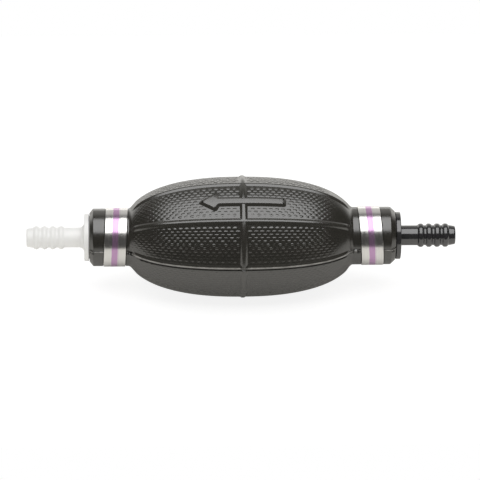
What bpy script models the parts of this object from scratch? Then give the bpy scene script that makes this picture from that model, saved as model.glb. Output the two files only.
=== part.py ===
"""A siphon bulb pump, in metres with +Z up.

The pump lies along X. Squeezing the rubber bulb pushes liquid towards -X, from the black inlet barb
at +X to the white outlet barb at -X. The plane of the middle rib is x = 0, and -Y is the front.
A distance below is measured along X from that plane, towards either end.
"""

import math

import bmesh
import bpy
from mathutils import Matrix, Vector

MM = 0.001
OUTLET, INLET = -1, 1

# Clearances and facets
GAP = 0.3 * MM
BULB_SIDES = 40
FITTING_SIDES = 24
VALVE_SIDES = 20

# Bulb: a swell between two necks, all of one wall of rubber
BULB_RADIUS = 26.8 * MM
SWELL_HALF = 49.1 * MM
SWELL_CENTRE = -0.8 * MM
SWELL_POWER = 2.32
SWELL_ROUNDNESS = 0.382
SWELL_STATIONS = 18
RUBBER_WALL = 3.0 * MM
NECK_LENGTH = 18.7 * MM
NECK_CHAMFER = 1.7 * MM
NECK_HOLE_INTO_BULB = 1.9 * MM

# Ribs and flow arrow on the bulb
RIB_COUNT = 8
RIB_WIDTH = 1.5 * MM
RIB_HEIGHT = 0.6 * MM
RIB_END_FROM_NECK = 1.9 * MM
RIB_ROOT = 1.0 * MM
MIDDLE_RIB_BASE = 4.4 * MM
MIDDLE_RIB_TOP = 1.4 * MM
MIDDLE_RIB_HEIGHT = 0.75 * MM
MIDDLE_RIB_ROOT = 1.7 * MM
ARROW_ELEVATION = 67.0
ARROW_HEIGHT = 1.0 * MM
ARROW_TIP = -19.9 * MM
ARROW_BARB = -13.0 * MM
ARROW_NECK = -11.1 * MM
ARROW_TAIL = 18.2 * MM
ARROW_HEAD_HALF = 5.3 * MM
ARROW_SHAFT_HALF = 2.05 * MM
ARROW_ROOT = 2.0 * MM

# Walls that the hand presses in
WALL_FROM_NECK = 13.0 * MM
WALL_STATIONS = 8
WALL_FROM_RIB = 2.6 * MM

# Crimp bands
BAND_PROUD = 0.25 * MM
BAND_THICKNESS = 0.4 * MM
BAND_WIDTH = 9.7 * MM
BAND_EDGE = 0.12 * MM
OUTLET_BAND_FROM_SWELL = 2.3 * MM
INLET_BAND_FROM_SWELL = 2.9 * MM

# Fittings: a ridged plug in the neck, a flange against its end, and a hose barb
PLUG_RADIUS = 9.5 * MM
PLUG_WALL = 2.3 * MM
PLUG_INTO_BULB = 0.3 * MM
PLUG_RIDGES = 2
PLUG_RIDGE_HEIGHT = 0.5 * MM
PLUG_RIDGE_PITCH = 3.6 * MM
PLUG_RIDGE_RAMP = 2.2 * MM
PLUG_RIDGE_FROM_END = 5.2 * MM
FLANGE_LIP = 1.0 * MM
FLANGE_THICKNESS = 2.1 * MM
SHAFT_RADIUS = 4.45 * MM
BARB_BORE = 3.2 * MM
BARB_COUNT = 4
BARB_RADIUS = 5.25 * MM
BARB_PITCH = 3.65 * MM
BARB_WIDTH = 3.0 * MM
BARB_CREST = 1.2 * MM
FIRST_BARB_FROM_TIP = 4.4 * MM
BARB_TIP_RADIUS = 4.0 * MM
BARB_TIP_ROUND = 0.45 * MM
OUTLET_BARB_LENGTH = 25.6 * MM
INLET_BARB_LENGTH = 24.5 * MM
OUTLET_FILLET = 2.0 * MM
INLET_FILLET = 0.6 * MM
ARC_STEPS = 3

# Valve chamber in each plug, closed by a retaining ring at the bulb's end
CHAMBER_LEDGE = 1.2 * MM
CHAMBER_CONE = 2.2 * MM
RING_FROM_END = 0.8 * MM
RING_THICKNESS = 0.8 * MM
RING_BITE = 0.7 * MM
RING_WIDTH = 1.4 * MM

# Valve pieces, in the order that the liquid meets them
SEAT_THICKNESS = 2.6 * MM
SEAT_LIP_HEIGHT = 0.5 * MM
SEAT_LIP_WIDTH = 0.7 * MM
SEAT_LIP_FROM_BORE = 0.3 * MM
SEAT_LIP_FROM_SEAL_EDGE = 0.6 * MM
ORING_SECTION = 0.9 * MM
ORING_STEPS = 6
SEAL_THICKNESS = 0.9 * MM
SEAL_FROM_POPPET_EDGE = 0.2 * MM
POPPET_FLOW_GAP = 1.8 * MM
POPPET_THICKNESS = 1.2 * MM
POPPET_BOSS_RADIUS = 1.5 * MM
POPPET_CAP_FROM_SEAT = 1.0 * MM
POPPET_CAP_THICKNESS = 0.6 * MM
STEM_RADIUS = 1.2 * MM
STEM_PROUD = 0.3 * MM
SPRING_LENGTH = 5.6 * MM
SPRING_RADIUS = 2.3 * MM
SPRING_WIRE = 0.5 * MM
SPRING_TURNS = 3
SPRING_POINTS_PER_TURN = 12
SPRING_CLOSED_PITCH = 0.6 * MM
GUIDE_THICKNESS = 2.4 * MM
GUIDE_RIM = 1.0 * MM
GUIDE_HUB_WALL = 1.4 * MM
GUIDE_ARMS = 3
GUIDE_ARM_WIDTH = 1.4 * MM

# What follows from them
NECK_BORE = PLUG_RADIUS + GAP
NECK_RADIUS = NECK_BORE + RUBBER_WALL
NECK_SHARE = (1 - (NECK_RADIUS / BULB_RADIUS) ** (1 / SWELL_ROUNDNESS)) ** (1 / SWELL_POWER)
SWELL_REACH = SWELL_HALF / NECK_SHARE
RIB_END = SWELL_HALF - RIB_END_FROM_NECK
WALL_REACH = SWELL_HALF - WALL_FROM_NECK
NECK_INNER_START = SWELL_HALF - NECK_HOLE_INTO_BULB
NECK_END = SWELL_HALF + NECK_LENGTH
BAND_RADIUS = NECK_RADIUS + BAND_PROUD
BAND_BORE = BAND_RADIUS - BAND_THICKNESS
OUTLET_BAND_START = SWELL_HALF + OUTLET_BAND_FROM_SWELL
INLET_BAND_START = SWELL_HALF + INLET_BAND_FROM_SWELL
PLUG_INNER_END = SWELL_HALF - PLUG_INTO_BULB
PLUG_FIRST_RIDGE = NECK_END - PLUG_RIDGE_FROM_END
FLANGE_RADIUS = PLUG_RADIUS + FLANGE_LIP
FLANGE_START = NECK_END + GAP
FLANGE_END = FLANGE_START + FLANGE_THICKNESS
OUTLET_TIP = FLANGE_END + OUTLET_BARB_LENGTH
INLET_TIP = FLANGE_END + INLET_BARB_LENGTH
CHAMBER_RADIUS = PLUG_RADIUS - PLUG_WALL
STACK_RADIUS = CHAMBER_RADIUS - GAP
RING_START = PLUG_INNER_END + RING_FROM_END
POPPET_RADIUS = CHAMBER_RADIUS - POPPET_FLOW_GAP
SEAL_RADIUS = POPPET_RADIUS - SEAL_FROM_POPPET_EDGE
SEAT_LIP_RADIUS = SEAL_RADIUS - SEAT_LIP_FROM_SEAL_EDGE
SEAT_LIP_BORE = SEAT_LIP_RADIUS - SEAT_LIP_WIDTH
SEAT_BORE = SEAT_LIP_BORE - SEAT_LIP_FROM_BORE
POPPET_CAP_RADIUS = SEAT_BORE - POPPET_CAP_FROM_SEAT
SEAT_TO_SEAL = SEAT_THICKNESS + SEAT_LIP_HEIGHT + GAP
SEAT_TO_DISC = SEAT_TO_SEAL + SEAL_THICKNESS + GAP
SEAT_TO_SPRING = SEAT_TO_DISC + POPPET_THICKNESS + GAP
SEAT_TO_GUIDE = SEAT_TO_SPRING + SPRING_LENGTH + GAP
STACK_LENGTH = SEAT_TO_GUIDE + GUIDE_THICKNESS
STACK_START = RING_START + RING_THICKNESS + GAP
CHAMBER_FLOOR = STACK_START + STACK_LENGTH + GAP

# Finishes: colour, roughness and metallic
BLACK_RUBBER = ((0.035, 0.034, 0.032), 0.5, 0.0)
SEAL_RUBBER = ((0.02, 0.02, 0.02), 0.45, 0.0)
WHITE_PLASTIC = ((0.83, 0.83, 0.82), 0.35, 0.0)
BLACK_PLASTIC = ((0.025, 0.025, 0.027), 0.32, 0.0)
NATURAL_PLASTIC = ((0.78, 0.76, 0.68), 0.4, 0.0)
BAND_STEEL = ((0.78, 0.77, 0.74), 0.18, 1.0)
SPRING_STEEL = ((0.6, 0.6, 0.6), 0.25, 1.0)


def clear_scene():
    for obj in list(bpy.data.objects):
        bpy.data.objects.remove(obj)


def finish(name, looks):
    colour, roughness, metallic = looks
    material = bpy.data.materials.new(name)
    material.use_nodes = True
    shader = material.node_tree.nodes["Principled BSDF"]
    shader.inputs["Base Color"].default_value = (*colour, 1)
    shader.inputs["Roughness"].default_value = roughness
    shader.inputs["Metallic"].default_value = metallic
    return material


def add_mesh(name, mesh_data, looks=None):
    """The bmesh as an object, with its own finish unless it is a helper."""
    mesh = bpy.data.meshes.new(name)
    mesh_data.to_mesh(mesh)
    mesh_data.free()
    obj = bpy.data.objects.new(name, mesh)
    bpy.context.collection.objects.link(obj)
    if looks:
        mesh.materials.append(finish(name, looks))
    return obj


def move_origin(obj, place):
    """Puts the object's origin at place and leaves its shape where it is."""
    obj.data.transform(Matrix.Translation(-Vector(place)))
    obj.location = place


def apply_helper(obj, helper, operation):
    """Adds, cuts or keeps the helper's shape, which isn't a piece itself."""
    helper.hide_render = True
    helper.display_type = "WIRE"
    modifier = obj.modifiers.new(helper.name, "BOOLEAN")
    modifier.operation = operation
    modifier.object = helper


def turned(name, outline, sides, looks=None):
    """The loop of (along, radius) points turned about the X axis, with a facet straight up and down."""
    shape = bmesh.new()
    half_facet = Matrix.Rotation(math.pi / sides, 3, "X")
    points = [shape.verts.new(half_facet @ Vector((along, 0, radius))) for along, radius in outline]
    edges = []
    for first, second in zip(points, points[1:] + points[:1]):
        on_axis = max(first.co.yz.length, second.co.yz.length) < 1e-9
        if not on_axis:
            edges.append(shape.edges.new((first, second)))
    bmesh.ops.spin(
        shape, geom=points + edges, cent=(0, 0, 0), axis=(1, 0, 0), angle=math.tau, steps=sides
    )
    bmesh.ops.remove_doubles(shape, verts=shape.verts, dist=1e-7)
    bmesh.ops.recalc_face_normals(shape, faces=shape.faces)
    return add_mesh(name, shape, looks)


def prism(name, outline, low, high):
    """The flat (along, across) outline as a block between two heights."""
    shape = bmesh.new()
    base = shape.faces.new([shape.verts.new((along, across, low)) for along, across in outline])
    grown = bmesh.ops.extrude_face_region(shape, geom=[base])
    top = [item for item in grown["geom"] if isinstance(item, bmesh.types.BMVert)]
    bmesh.ops.translate(shape, verts=top, vec=(0, 0, high - low))
    bmesh.ops.recalc_face_normals(shape, faces=shape.faces)
    return add_mesh(name, shape)


def arc(centre, radius, start, end, steps):
    """Points on an arc of (along, radius) points, from one angle to another in degrees."""
    angles = [math.radians(start + (end - start) * i / steps) for i in range(steps + 1)]
    return [(centre[0] + radius * math.cos(a), centre[1] + radius * math.sin(a)) for a in angles]


def towards(side, outline):
    """The (distance, radius) outline on the outlet's or the inlet's side."""
    return [(side * distance, radius) for distance, radius in outline]


def swell(along):
    """Outside radius of the bulb at a place along X, without its necks."""
    share = min(abs(along - SWELL_CENTRE) / SWELL_REACH, 1)
    return BULB_RADIUS * (1 - share**SWELL_POWER) ** SWELL_ROUNDNESS


def swell_slope(along):
    step = 0.01 * MM
    return (swell(along + step) - swell(along - step)) / (2 * step)


def skin_points():
    """(along, radius) points on the swell, closer together towards the necks, where it curves most."""
    angles = [math.pi * (i / SWELL_STATIONS - 0.5) for i in range(1, SWELL_STATIONS)]
    alongs = [SWELL_CENTRE + SWELL_REACH * math.sin(angle) for angle in angles]
    return [(along, swell(along)) for along in alongs if swell(along) > NECK_RADIUS]


def inner_skin_points():
    """The swell's points moved in by the wall's thickness, at right angles to the skin."""
    points = []
    for along, radius in skin_points():
        slope = swell_slope(along)
        share = RUBBER_WALL / math.hypot(slope, 1)
        points.append((along + slope * share, radius - share))
    return [p for p in points if p[1] > NECK_BORE + GAP and abs(p[0]) < NECK_INNER_START]


def plug_surface(clearance):
    """(distance, radius) points along the ridged plug from its inner end, or along the hole for it."""
    low = PLUG_RADIUS + clearance
    high = low + PLUG_RIDGE_HEIGHT
    points = []
    for i in reversed(range(PLUG_RIDGES)):
        crest = PLUG_FIRST_RIDGE - i * PLUG_RIDGE_PITCH
        points += [(crest - PLUG_RIDGE_RAMP, low), (crest + clearance, high), (crest + clearance, low)]
    return points


def neck_outside(band_start):
    """(distance, radius) points along a neck's outside, with a seat for its band."""
    band_seat = BAND_BORE - GAP
    band_end = band_start + BAND_WIDTH
    return [
        (band_start - GAP, NECK_RADIUS),
        (band_start - GAP, band_seat),
        (band_end + GAP, band_seat),
        (band_end + GAP, NECK_RADIUS),
        (NECK_END - NECK_CHAMFER, NECK_RADIUS),
        (NECK_END, NECK_RADIUS - NECK_CHAMFER),
    ]


def neck_inside():
    """(distance, radius) points along a neck's hole, from the bulb outwards."""
    return [(NECK_INNER_START, NECK_BORE), *plug_surface(NECK_BORE - PLUG_RADIUS), (NECK_END, NECK_BORE)]


def bulb_shell(name, looks):
    """The whole rubber bulb, with its ribs and arrow as modifiers."""
    outside = (
        towards(OUTLET, neck_outside(OUTLET_BAND_START))[::-1]
        + skin_points()
        + towards(INLET, neck_outside(INLET_BAND_START))
    )
    inside = (
        towards(OUTLET, neck_inside())[::-1] + inner_skin_points() + towards(INLET, neck_inside())
    )
    shell = turned(name, outside + inside[::-1], BULB_SIDES, looks)
    apply_helper(shell, bpy.data.objects["ribs_helper"], "UNION")
    apply_helper(shell, bpy.data.objects["middle_rib_helper"], "UNION")
    apply_helper(shell, bpy.data.objects["arrow_helper"], "UNION")
    return shell


def add_ribs_helper():
    """The ribs that run along the bulb, each a thin slice of a shell round the skin."""
    skin = [point for point in skin_points() if abs(point[0]) < RIB_END]
    outline = [(along, radius + RIB_HEIGHT) for along, radius in skin]
    outline += [(along, radius - RIB_ROOT) for along, radius in reversed(skin)]
    half_angle = RIB_WIDTH / BULB_RADIUS / 2
    shape = bmesh.new()
    for i in range(RIB_COUNT):
        turn = Matrix.Rotation(math.tau * i / RIB_COUNT - half_angle, 3, "X")
        side = shape.faces.new([shape.verts.new(turn @ Vector((a, 0, r))) for a, r in outline])
        bmesh.ops.spin(
            shape, geom=[side], cent=(0, 0, 0), axis=(1, 0, 0), angle=2 * half_angle, steps=1
        )
    bmesh.ops.recalc_face_normals(shape, faces=shape.faces)
    add_mesh("ribs_helper", shape)


def add_middle_rib_helper():
    root = BULB_RADIUS - MIDDLE_RIB_ROOT
    top = BULB_RADIUS + MIDDLE_RIB_HEIGHT
    base_half, top_half = MIDDLE_RIB_BASE / 2, MIDDLE_RIB_TOP / 2
    outline = [(-base_half, root), (-top_half, top), (top_half, top), (base_half, root)]
    rib = turned("middle_rib_helper", outline, BULB_SIDES)
    rib.data.transform(Matrix.Rotation(math.pi / BULB_SIDES, 4, "X"))


def add_arrow_helper():
    """The flow arrow: a block of its outline, kept only up to its height above the skin."""
    half = [
        (ARROW_TIP, 0),
        (ARROW_BARB, ARROW_HEAD_HALF),
        (ARROW_NECK, ARROW_SHAFT_HALF),
        (ARROW_TAIL, ARROW_SHAFT_HALF),
    ]
    outline = half + [(along, -across) for along, across in reversed(half[1:])]
    base = min(swell(ARROW_TIP), swell(ARROW_TAIL)) - ARROW_ROOT
    arrow = prism("arrow_helper", outline, base, BULB_RADIUS + 2 * ARROW_HEIGHT)
    arrow.data.transform(Matrix.Rotation(math.radians(90 - ARROW_ELEVATION), 4, "X"))
    skin = [(along, radius + ARROW_HEIGHT) for along, radius in skin_points()]
    envelope = turned(
        "arrow_top_helper", [(skin[0][0], 0), *skin, (skin[-1][0], 0)], BULB_SIDES
    )
    apply_helper(arrow, envelope, "INTERSECT")


def wall_outline(inset):
    """(along, height) points round a squeeze wall, which runs beside the ribs at 45 degrees."""
    reach = WALL_REACH - inset
    from_rib = WALL_FROM_RIB + inset
    alongs = [reach * i / WALL_STATIONS for i in range(-WALL_STATIONS, WALL_STATIONS + 1)]
    upper = [(along, swell(along) * math.sin(math.tau / RIB_COUNT) - from_rib) for along in alongs]
    return upper + [(along, -height) for along, height in reversed(upper)]


def wall_block(name, side, inset):
    """A block that holds the front (-1) or back (1) squeeze wall."""
    block = prism(name, wall_outline(inset), 0, BULB_RADIUS + 2 * MIDDLE_RIB_HEIGHT)
    block.data.transform(Matrix.Rotation(math.radians(-90 * side), 4, "X"))
    return block


def add_bulb():
    """The bulb in three solids: its body and the two walls that the hand presses in."""
    add_ribs_helper()
    add_middle_rib_helper()
    add_arrow_helper()
    body = bulb_shell("bulb_body", BLACK_RUBBER)
    for name, side in (("front", -1), ("back", 1)):
        apply_helper(body, wall_block(f"{name}_window_helper", side, 0), "DIFFERENCE")
        wall = bulb_shell(f"{name}_squeeze_wall", BLACK_RUBBER)
        apply_helper(wall, wall_block(f"{name}_wall_helper", side, GAP), "INTERSECT")
        move_origin(wall, (0, side * BULB_RADIUS, 0))


def add_band(name, side, start):
    end = start + BAND_WIDTH
    outline = [
        (start, BAND_BORE),
        (start, BAND_RADIUS - BAND_EDGE),
        (start + BAND_EDGE, BAND_RADIUS),
        (end - BAND_EDGE, BAND_RADIUS),
        (end, BAND_RADIUS - BAND_EDGE),
        (end, BAND_BORE),
    ]
    band = turned(name, towards(side, outline), BULB_SIDES, BAND_STEEL)
    move_origin(band, (side * start, 0, 0))


def barb_points(tip):
    """(distance, radius) points along the hose barb's rounded crests, from the flange to the tip."""
    points = []
    for i in reversed(range(BARB_COUNT)):
        crest = tip - FIRST_BARB_FROM_TIP - i * BARB_PITCH
        points += [
            (crest - BARB_WIDTH / 2, SHAFT_RADIUS),
            (crest - BARB_CREST / 2, BARB_RADIUS),
            (crest + BARB_CREST / 2, BARB_RADIUS),
            (crest + BARB_WIDTH / 2, SHAFT_RADIUS),
        ]
    return points


def add_fitting(name, side, tip, fillet, looks):
    chamber = [
        (PLUG_INNER_END, CHAMBER_RADIUS),
        (RING_START - GAP, CHAMBER_RADIUS),
        (RING_START - GAP, CHAMBER_RADIUS + RING_BITE),
        (STACK_START, CHAMBER_RADIUS + RING_BITE),
        (STACK_START, CHAMBER_RADIUS),
        (CHAMBER_FLOOR, CHAMBER_RADIUS),
        (CHAMBER_FLOOR, CHAMBER_RADIUS - CHAMBER_LEDGE),
        (CHAMBER_FLOOR + CHAMBER_CONE, BARB_BORE),
        (tip, BARB_BORE),
    ]
    outside = [
        (PLUG_INNER_END, PLUG_RADIUS),
        *plug_surface(0),
        (FLANGE_START, PLUG_RADIUS),
        (FLANGE_START, FLANGE_RADIUS),
        (FLANGE_END, FLANGE_RADIUS),
        *arc((FLANGE_END + fillet, SHAFT_RADIUS + fillet), fillet, 180, 270, ARC_STEPS),
        *barb_points(tip),
        *arc((tip - BARB_TIP_ROUND, BARB_TIP_RADIUS - BARB_TIP_ROUND), BARB_TIP_ROUND, 90, 0, ARC_STEPS),
    ]
    fitting = turned(name, towards(side, outside + chamber[::-1]), FITTING_SIDES, looks)
    move_origin(fitting, (side * FLANGE_START, 0, 0))


def ring_outline(start, thickness, bore, radius):
    return [(start, bore), (start, radius), (start - thickness, radius), (start - thickness, bore)]


def add_valve_seat(name, start):
    """The seat ring, with a groove for its O-ring and a lip that faces the poppet."""
    downstream = start - SEAT_THICKNESS
    groove_half = ORING_SECTION / 2 + GAP
    middle = start - SEAT_THICKNESS / 2
    groove_floor = CHAMBER_RADIUS - ORING_SECTION - 2 * GAP
    outline = [
        (start, SEAT_BORE),
        (start, STACK_RADIUS),
        (middle + groove_half, STACK_RADIUS),
        (middle + groove_half, groove_floor),
        (middle - groove_half, groove_floor),
        (middle - groove_half, STACK_RADIUS),
        (downstream, STACK_RADIUS),
        (downstream, SEAT_LIP_RADIUS),
        (downstream - SEAT_LIP_HEIGHT, SEAT_LIP_RADIUS),
        (downstream - SEAT_LIP_HEIGHT, SEAT_LIP_BORE),
        (downstream, SEAT_LIP_BORE),
        (downstream, SEAT_BORE),
    ]
    seat = turned(f"{name}_valve_seat", outline, VALVE_SIDES, NATURAL_PLASTIC)
    move_origin(seat, (start, 0, 0))
    section = ORING_SECTION / 2
    ring = arc((middle, CHAMBER_RADIUS - GAP - section), section, 0, 360, ORING_STEPS)[1:]
    oring = turned(f"{name}_seat_oring", ring, VALVE_SIDES, SEAL_RUBBER)
    move_origin(oring, (middle, 0, 0))


def add_poppet(name, start):
    """The poppet and its rubber washer, which open together towards -X."""
    seal_start = start - SEAT_TO_SEAL
    disc_start = start - SEAT_TO_DISC
    disc_end = disc_start - POPPET_THICKNESS
    stem_end = start - STACK_LENGTH - STEM_PROUD
    cap_end = seal_start + GAP
    outline = [
        (cap_end + POPPET_CAP_THICKNESS, 0),
        (cap_end + POPPET_CAP_THICKNESS, POPPET_CAP_RADIUS),
        (cap_end, POPPET_CAP_RADIUS),
        (cap_end, POPPET_BOSS_RADIUS),
        (disc_start, POPPET_BOSS_RADIUS),
        (disc_start, POPPET_RADIUS),
        (disc_end, POPPET_RADIUS),
        (disc_end, STEM_RADIUS),
        (stem_end, STEM_RADIUS),
        (stem_end, 0),
    ]
    poppet = turned(f"{name}_poppet", outline, VALVE_SIDES, NATURAL_PLASTIC)
    move_origin(poppet, (disc_start, 0, 0))
    washer = ring_outline(seal_start, SEAL_THICKNESS, POPPET_BOSS_RADIUS + GAP, SEAL_RADIUS)
    seal = turned(f"{name}_poppet_seal", washer, VALVE_SIDES, SEAL_RUBBER)
    move_origin(seal, (seal_start, 0, 0))


def add_valve_spring(name, start):
    """A coil with one closed turn at each end, from the poppet to the guide."""
    half_wire = SPRING_WIRE / 2
    high = start - SEAT_TO_SPRING - half_wire
    low = high - SPRING_LENGTH + SPRING_WIRE
    open_pitch = (high - low - 2 * SPRING_CLOSED_PITCH) / SPRING_TURNS
    curve = bpy.data.curves.new(f"{name}_valve_spring", "CURVE")
    curve.dimensions = "3D"
    curve.bevel_depth = half_wire
    curve.bevel_resolution = 1
    curve.use_fill_caps = True
    steps = (SPRING_TURNS + 2) * SPRING_POINTS_PER_TURN
    coil = curve.splines.new("POLY")
    coil.points.add(steps)
    for i, point in enumerate(coil.points):
        turns = i / SPRING_POINTS_PER_TURN
        opened = min(max(turns - 1, 0), SPRING_TURNS)
        along = high - SPRING_CLOSED_PITCH * (turns - opened) - open_pitch * opened
        angle = math.tau * turns
        across, up = SPRING_RADIUS * math.cos(angle), SPRING_RADIUS * math.sin(angle)
        point.co = (along - start, across, up, 1)
    curve.materials.append(finish(f"{name}_valve_spring", SPRING_STEEL))
    spring = bpy.data.objects.new(f"{name}_valve_spring", curve)
    bpy.context.collection.objects.link(spring)
    spring.location = (start, 0, 0)


def add_stem_guide(name, start):
    """The rim, arms and hub that the poppet's stem slides in."""
    guide_start = start - SEAT_TO_GUIDE
    rim_bore = STACK_RADIUS - GUIDE_RIM
    hub_bore = STEM_RADIUS + GAP
    hub_radius = hub_bore + GUIDE_HUB_WALL
    rim = ring_outline(guide_start, GUIDE_THICKNESS, rim_bore, STACK_RADIUS)
    guide = turned(f"{name}_stem_guide", rim, VALVE_SIDES, NATURAL_PLASTIC)
    hub = ring_outline(guide_start, GUIDE_THICKNESS, hub_bore, hub_radius)
    apply_helper(guide, turned(f"{name}_hub_helper", hub, VALVE_SIDES), "UNION")
    arm_low = hub_bore + GUIDE_HUB_WALL / 2
    arm_high = rim_bore + GUIDE_RIM / 2
    half_width = GUIDE_ARM_WIDTH / 2
    inset = GUIDE_THICKNESS / 8
    upstream, downstream = guide_start - inset, guide_start - GUIDE_THICKNESS + inset
    arm = [(upstream, -half_width), (upstream, half_width), (downstream, half_width), (downstream, -half_width)]
    for i in range(GUIDE_ARMS):
        helper = prism(f"{name}_arm_{i + 1}_helper", arm, arm_low, arm_high)
        helper.data.transform(Matrix.Rotation(math.tau * i / GUIDE_ARMS, 4, "X"))
        apply_helper(guide, helper, "UNION")
    move_origin(guide, (guide_start, 0, 0))


def add_retaining_ring(name, side):
    radius = CHAMBER_RADIUS + RING_BITE - GAP
    outline = ring_outline(
        side * RING_START, -side * RING_THICKNESS, radius - RING_WIDTH, radius
    )
    ring = turned(f"{name}_retaining_ring", outline, VALVE_SIDES, SPRING_STEEL)
    move_origin(ring, (side * RING_START, 0, 0))


def add_valve(name, side, start):
    """A one-way valve whose upstream face is at start. Both valves open towards -X."""
    add_valve_seat(name, start)
    add_poppet(name, start)
    add_valve_spring(name, start)
    add_stem_guide(name, start)
    add_retaining_ring(name, side)


clear_scene()
add_bulb()
add_band("outlet_crimp_band", OUTLET, OUTLET_BAND_START)
add_band("inlet_crimp_band", INLET, INLET_BAND_START)
add_fitting("outlet_fitting", OUTLET, OUTLET_TIP, OUTLET_FILLET, WHITE_PLASTIC)
add_fitting("inlet_fitting", INLET, INLET_TIP, INLET_FILLET, BLACK_PLASTIC)
add_valve("outlet", OUTLET, -STACK_START)
add_valve("inlet", INLET, CHAMBER_FLOOR - GAP)
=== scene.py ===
"""The looks of a hand-squeezed siphon bulb pump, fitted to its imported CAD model.

Everything is in metres in the CAD model's frame: the pump lies along X, -Y is the front, and +Z is
up. The outlet is at -X and the inlet at +X. A turn is an angle about X, from the front (0) over the
top (90 degrees) to the back.
"""

import math

import bpy
import numpy as np
from mathutils import Matrix, Vector


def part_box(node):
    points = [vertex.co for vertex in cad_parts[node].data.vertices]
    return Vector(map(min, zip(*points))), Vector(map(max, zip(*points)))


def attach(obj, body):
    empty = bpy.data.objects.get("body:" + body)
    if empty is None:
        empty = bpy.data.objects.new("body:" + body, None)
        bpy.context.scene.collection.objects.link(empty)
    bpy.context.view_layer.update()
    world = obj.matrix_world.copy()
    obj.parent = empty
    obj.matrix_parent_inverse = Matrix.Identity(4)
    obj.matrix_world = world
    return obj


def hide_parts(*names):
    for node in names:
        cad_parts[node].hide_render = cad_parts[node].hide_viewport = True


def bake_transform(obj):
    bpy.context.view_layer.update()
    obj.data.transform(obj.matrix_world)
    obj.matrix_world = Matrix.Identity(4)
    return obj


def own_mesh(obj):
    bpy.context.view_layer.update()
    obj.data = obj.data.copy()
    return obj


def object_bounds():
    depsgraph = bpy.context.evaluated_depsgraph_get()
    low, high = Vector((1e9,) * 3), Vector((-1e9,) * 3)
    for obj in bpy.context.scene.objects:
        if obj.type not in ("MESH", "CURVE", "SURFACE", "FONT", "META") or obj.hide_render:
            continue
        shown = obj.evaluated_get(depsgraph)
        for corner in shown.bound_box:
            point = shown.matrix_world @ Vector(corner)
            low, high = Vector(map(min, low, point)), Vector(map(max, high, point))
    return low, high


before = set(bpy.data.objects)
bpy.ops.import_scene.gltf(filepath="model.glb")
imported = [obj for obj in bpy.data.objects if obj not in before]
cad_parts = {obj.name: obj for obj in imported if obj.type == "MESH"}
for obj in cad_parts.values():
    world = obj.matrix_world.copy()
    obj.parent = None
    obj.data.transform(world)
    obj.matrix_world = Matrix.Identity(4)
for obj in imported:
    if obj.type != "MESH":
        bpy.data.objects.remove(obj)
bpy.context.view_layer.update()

MM = 0.001
OUTLET, INLET = -1, 1
END = {OUTLET: "outlet", INLET: "inlet"}

# The bulb's outside line, shared with the CAD model
BULB_RADIUS = 26.8 * MM
SWELL_HALF = 49.1 * MM
SWELL_CENTRE = -0.8 * MM
SWELL_POWER = 2.32
SWELL_ROUNDNESS = 0.382
NECK_RADIUS = 12.8 * MM
NECK_SHARE = (1 - (NECK_RADIUS / BULB_RADIUS) ** (1 / SWELL_ROUNDNESS)) ** (1 / SWELL_POWER)
SWELL_REACH = SWELL_HALF / NECK_SHARE
NECK_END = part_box("bulb_body")[1].x
NECK_CHAMFER_LONG = {OUTLET: 1.6 * MM, INLET: 2.1 * MM}
NECK_CHAMFER_DEEP = 2.0 * MM
NECK_BLEND, CHAMFER_BLEND = 1.1 * MM, 0.25 * MM
NECK_HOLE = 10.35 * MM
RUBBER_WALL = 3.0 * MM
CHAMBER_SHORTER = 1.06
MERIDIAN_SAMPLES = 40001

# The crimp bands, and the seats they press into the necks. A lean is X per metre towards the upper
# front, and a seat's sides lie from near to far past its band's edges.
BAND_RADIUS = 13.05 * MM
BAND_THICKNESS = 0.4 * MM
BAND_EDGE_ROUND = 0.17 * MM
BAND_INNER_ROUND = 0.05 * MM
BAND_SIDES = 160
SEAT_DEPTH = 0.45 * MM
SEAT_NEAR, SEAT_FAR = 0.05 * MM, 0.3 * MM
LEAN = {OUTLET: 0.048, INLET: -0.066}
LEAN_TURN = math.radians(121)

# The end fittings, as distances from the pump's middle and radii
PLUG_START = 48.8 * MM
PLUG_RADIUS = 9.5 * MM
PLUG_RIDGES = (59.0 * MM, 62.6 * MM)
PLUG_RIDGE_LONG = 2.2 * MM
PLUG_RIDGE_RADIUS = 10.0 * MM
FLANGE_START = 68.1 * MM
FLANGE_END = 70.2 * MM
FLANGE_RADIUS = 10.5 * MM
SHAFT_START = FLANGE_END + 2.6 * MM
SHAFT_RADIUS = 4.45 * MM
SHAFT_SAMPLES = 150
BARB_COUNT = 4
BARB_RADIUS = 5.25 * MM
BARB_PITCH = 3.65 * MM
BARB_HALF_LONG = 1.42 * MM
FIRST_BARB_FROM_TIP = 4.4 * MM
NOSE_LONG = 0.75 * MM
TAPER_LONG, TAPER_DEEP = 3.0 * MM, 0.35 * MM
FITTING_SIDES = 128
BORE_RADIUS = 3.2 * MM
FUNNEL_END = 67.6 * MM
FUNNEL_RADIUS = 6.0 * MM
CHAMBER_FLOOR = 65.4 * MM
CHAMBER_RADIUS = 7.2 * MM
GROOVE_START, GROOVE_END = 49.3 * MM, 50.7 * MM
GROOVE_RADIUS = 7.9 * MM

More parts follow.
